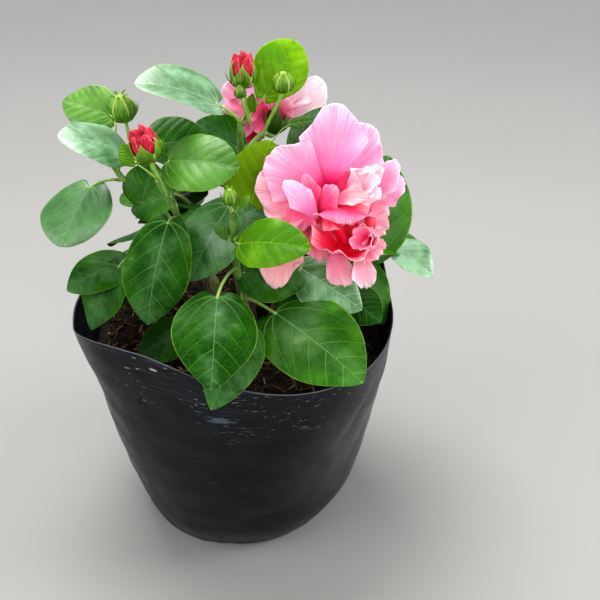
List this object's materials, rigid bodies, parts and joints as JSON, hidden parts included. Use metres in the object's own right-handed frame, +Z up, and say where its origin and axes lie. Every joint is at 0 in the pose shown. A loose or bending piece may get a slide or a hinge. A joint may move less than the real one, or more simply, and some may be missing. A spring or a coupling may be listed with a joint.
{
  "type": "potted hibiscus shrub",
  "caption": "Young hibiscus shrub with double pink blooms, buds and glossy oval leaves on slim stems, growing in soil in a round black film grow bag.",
  "frame": {"origin": "middle of the bag's flat underside", "axes": "+Z up; -Y is the side that the large open bloom faces; +X is to the right seen from that side"},
  "size_m": [0.2795, 0.2578, 0.3787],
  "materials": {
    "bag_film": "satin black polyethylene film, scuffed and softly creased",
    "soil": "dark crumbly potting mix with bark and husk fibres",
    "bark": "fine grey-brown bark, turning green towards the young tips",
    "leaf": "glossy leaf with pale veins and a thin yellow-green edge",
    "petal": "soft ruffled pink petals, deep magenta at the throat"
  },
  "bodies": {
    "root": {"bag": "bag_film", "bag_rim": "bag_film", "soil": "soil", "stem_top": "bark", "stem_front": "bark", "stem_left": "bark", "stem_middle": "bark", "stem_right": "bark", "stem_back": "bark", "bough_left": "bark", "bough_right": "bark", "bough_back_right": "bark", "bough_back_left": "bark", "bough_bloom_back": "bark", "bloom_front": "petal", "bloom_back": "petal", "foliage_front_low": "leaf", "foliage_front_right": "leaf", "foliage_front_bright": "leaf", "foliage_upper": "leaf", "foliage_inner": "leaf", "foliage_front_left": "leaf", "foliage_middle": "leaf", "foliage_low_inner": "leaf", "foliage_left_high": "leaf", "foliage_left_outer": "leaf", "foliage_left_inner": "leaf", "foliage_left_low": "leaf", "foliage_top_left": "leaf", "foliage_crest": "leaf", "foliage_behind_bloom": "leaf", "foliage_under_bloom": "leaf", "foliage_right_low": "leaf", "foliage_right": "leaf", "foliage_back_left": "leaf", "foliage_back_middle": "leaf", "foliage_back_right": "leaf", "foliage_back_low": "leaf"}
  },
  "joints": []
}
